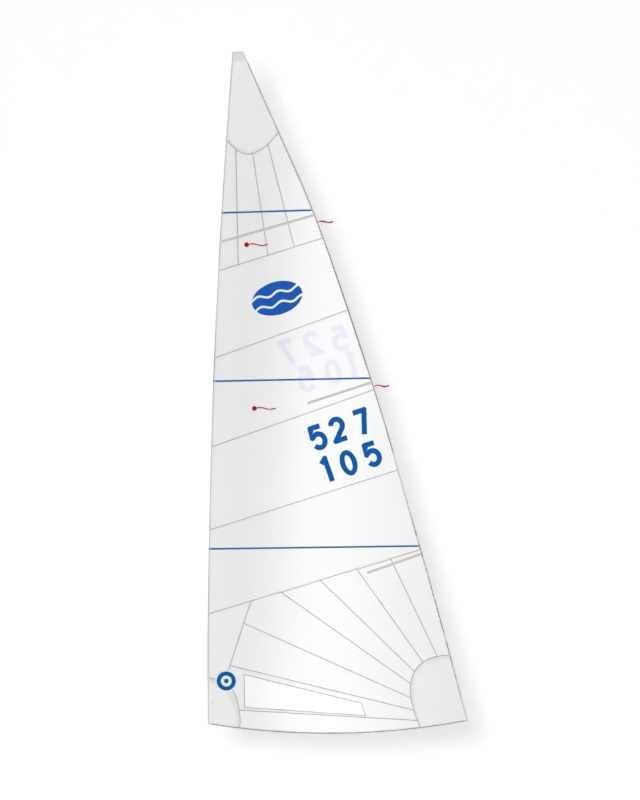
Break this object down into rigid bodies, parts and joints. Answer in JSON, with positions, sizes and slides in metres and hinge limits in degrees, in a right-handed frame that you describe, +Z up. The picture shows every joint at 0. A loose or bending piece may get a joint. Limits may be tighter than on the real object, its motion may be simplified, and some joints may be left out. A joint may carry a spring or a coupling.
{
  "type": "mainsail",
  "caption": "Tall triangular mainsail in white panelled cloth with short battens, a low clear window, corner patches and eyes, blue draft stripes and red telltales.",
  "frame": {"origin": "the tack, at the fore edge of the luff and the bottom of the sail, where the luff rope leaves the mast's groove", "axes": "+X aft along the foot, +Y to starboard, the side to which the sail bellies, +Z up the luff"},
  "size_m": [2.9592, 0.2214, 7.747],
  "materials": {
    "sailcloth": "firm woven polyester, slightly translucent",
    "edge_tape": "matt woven tape",
    "pocket_cloth": "matt woven tape",
    "draft_blue": "adhesive cloth",
    "telltale_red": "light ripstop ribbon",
    "window_film": "clear glossy film",
    "rope_white": "braided rope",
    "line_grey": "thin braided line",
    "batten_glass": "pultruded glass fibre",
    "headboard_white": "pale satin",
    "aluminium": "plain",
    "stainless": "pressed and polished"
  },
  "bodies": {
    "sail": {"head_patch": "sailcloth", "clew_patch": "sailcloth", "tack_patch": "sailcloth", "head_gore_1": "sailcloth", "head_gore_2": "sailcloth", "head_gore_3": "sailcloth", "head_gore_4": "sailcloth", "cross_panel_1": "sailcloth", "cross_panel_2": "sailcloth", "cross_panel_3": "sailcloth", "cross_panel_4": "sailcloth", "tack_panel": "sailcloth", "clew_gore_1": "sailcloth", "clew_gore_2": "sailcloth", "clew_gore_3": "sailcloth", "clew_gore_4": "sailcloth", "clew_gore_5": "sailcloth", "clew_gore_6": "sailcloth", "clew_gore_7": "sailcloth", "clew_gore_8": "sailcloth", "window_film": "window_film", "luff_tape": "edge_tape", "bolt_rope": "rope_white", "leech_tape": "edge_tape", "leech_line": "line_grey", "foot_tape": "edge_tape", "batten_pocket_top": "pocket_cloth", "batten_pocket_middle": "pocket_cloth", "batten_pocket_lower": "pocket_cloth", "headboard_port": "headboard_white", "headboard_starboard": "headboard_white", "headboard_rivet_1": "aluminium", "headboard_rivet_2": "aluminium", "headboard_rivet_3": "aluminium", "headboard_rivet_4": "aluminium", "halyard_bush": "stainless", "tack_eye": "stainless", "cunningham_eye": "stainless", "clew_eye": "stainless", "draft_stripe_top_port": "draft_blue", "draft_stripe_top_starboard": "draft_blue", "draft_stripe_middle_port": "draft_blue", "draft_stripe_middle_starboard": "draft_blue", "draft_stripe_lower_port": "draft_blue", "draft_stripe_lower_starboard": "draft_blue", "telltale_dot_upper_port": "telltale_red", "telltale_dot_upper_starboard": "telltale_red", "telltale_dot_lower_port": "telltale_red", "telltale_dot_lower_starboard": "telltale_red"},
    "top_batten": {"batten_top": "batten_glass"},
    "middle_batten": {"batten_middle": "batten_glass"},
    "lower_batten": {"batten_lower": "batten_glass"},
    "upper_port_ribbon": {"telltale_upper_port": "telltale_red"},
    "upper_starboard_ribbon": {"telltale_upper_starboard": "telltale_red"},
    "lower_port_ribbon": {"telltale_lower_port": "telltale_red"},
    "lower_starboard_ribbon": {"telltale_lower_starboard": "telltale_red"},
    "upper_leech_ribbon": {"telltale_leech_upper": "telltale_red"},
    "lower_leech_ribbon": {"telltale_leech_lower": "telltale_red"}
  },
  "joints": [
    {"name": "top_batten_slide", "type": "hinge", "parent": "sail", "child": "top_batten", "pos_m": [1.35467, -3.773, 5.82308], "axis": [0.276, 0, -0.9611], "range_deg": [0, 14.9]},
    {"name": "middle_batten_slide", "type": "hinge", "parent": "sail", "child": "middle_batten", "pos_m": [1.39536, -8.77065, 3.72842], "axis": [0.3088, 0, -0.9511], "range_deg": [0, 4.5]},
    {"name": "lower_batten_slide", "type": "hinge", "parent": "sail", "child": "lower_batten", "pos_m": [1.31278, -9.01944, 1.5401], "axis": [0.3316, 0, -0.9434], "range_deg": [0, 3.7]},
    {"name": "upper_port_ribbon_swing", "type": "hinge", "parent": "sail", "child": "upper_port_ribbon", "pos_m": [0.44289, 0.07178, 5.445], "axis": [0.2499, -0.9682, -0.0092], "range_deg": [-90, 30]},
    {"name": "upper_starboard_ribbon_swing", "type": "hinge", "parent": "sail", "child": "upper_starboard_ribbon", "pos_m": [0.44289, 0.07178, 5.445], "axis": [0.2499, -0.9682, -0.0092], "range_deg": [-90, 30]},
    {"name": "lower_port_ribbon_swing", "type": "hinge", "parent": "sail", "child": "lower_port_ribbon", "pos_m": [0.53161, 0.10861, 3.585], "axis": [0.2063, -0.9785, -0.0076], "range_deg": [-90, 30]},
    {"name": "lower_starboard_ribbon_swing", "type": "hinge", "parent": "sail", "child": "lower_starboard_ribbon", "pos_m": [0.53161, 0.10861, 3.585], "axis": [0.2063, -0.9785, -0.0076], "range_deg": [-90, 30]},
    {"name": "upper_leech_ribbon_swing", "type": "hinge", "parent": "sail", "child": "upper_leech_ribbon", "pos_m": [1.25004, 0.18369, 5.703], "axis": [-0.3515, -0.0111, 0.9361], "range_deg": [-60, 60]},
    {"name": "lower_leech_ribbon_swing", "type": "hinge", "parent": "sail", "child": "lower_leech_ribbon", "pos_m": [1.88552, 0.17161, 3.839], "axis": [-0.3009, 0.0206, 0.9534], "range_deg": [-60, 60]}
  ]
}
